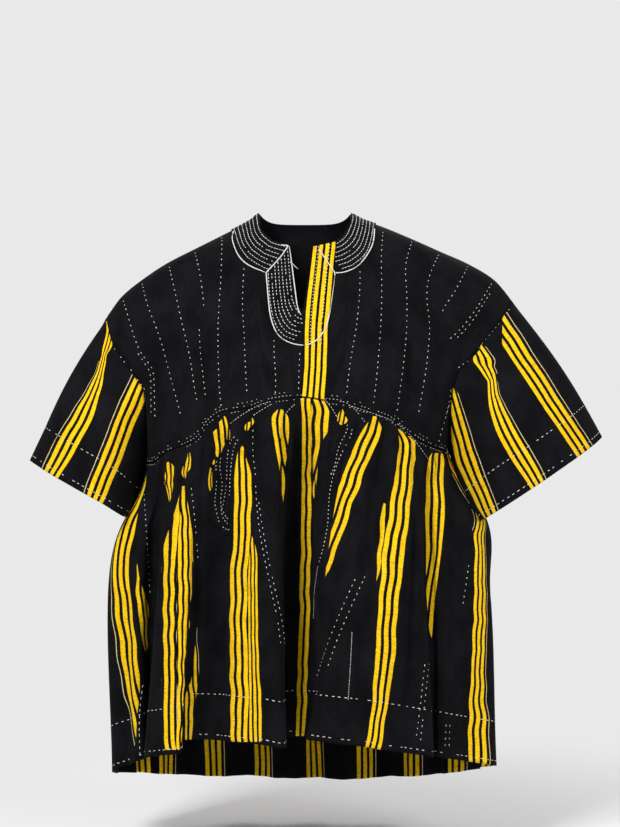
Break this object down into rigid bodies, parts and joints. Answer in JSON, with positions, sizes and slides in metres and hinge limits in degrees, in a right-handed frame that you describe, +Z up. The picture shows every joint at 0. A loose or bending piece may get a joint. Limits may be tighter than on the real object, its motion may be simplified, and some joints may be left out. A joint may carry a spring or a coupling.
{
  "type": "worn hand-woven smock",
  "caption": "Boxy hand-woven cotton smock as worn: plain yoke with slit neck and stitched facing, short wide striped sleeves, long gathered striped skirt with a longer back.",
  "frame": {"origin": "between the shoulders, at the height of the neck opening's sides, where the wearer's shoulders hold the garment", "axes": "+X to the viewer's right across the garment seen from in front (its own left), -Y out of the front, +Z up"},
  "size_m": [0.907, 0.3778, 0.9343],
  "materials": {
    "black_cotton": "matte hand-woven cotton, plain black",
    "striped_cotton": "matte hand-woven cotton, black with groups of yellow warp stripes",
    "yellow_strip": "matte hand-woven cotton, yellow stripes on black"
  },
  "bodies": {
    "root": {"front_bodice": "black_cotton", "back_bodice": "black_cotton", "sleeve_left": "striped_cotton", "sleeve_right": "striped_cotton", "front_skirt": "striped_cotton", "back_skirt": "striped_cotton", "neck_facing": "black_cotton", "placket_strip": "yellow_strip", "pocket_facing_left": "black_cotton", "pocket_facing_right": "black_cotton"}
  },
  "joints": []
}
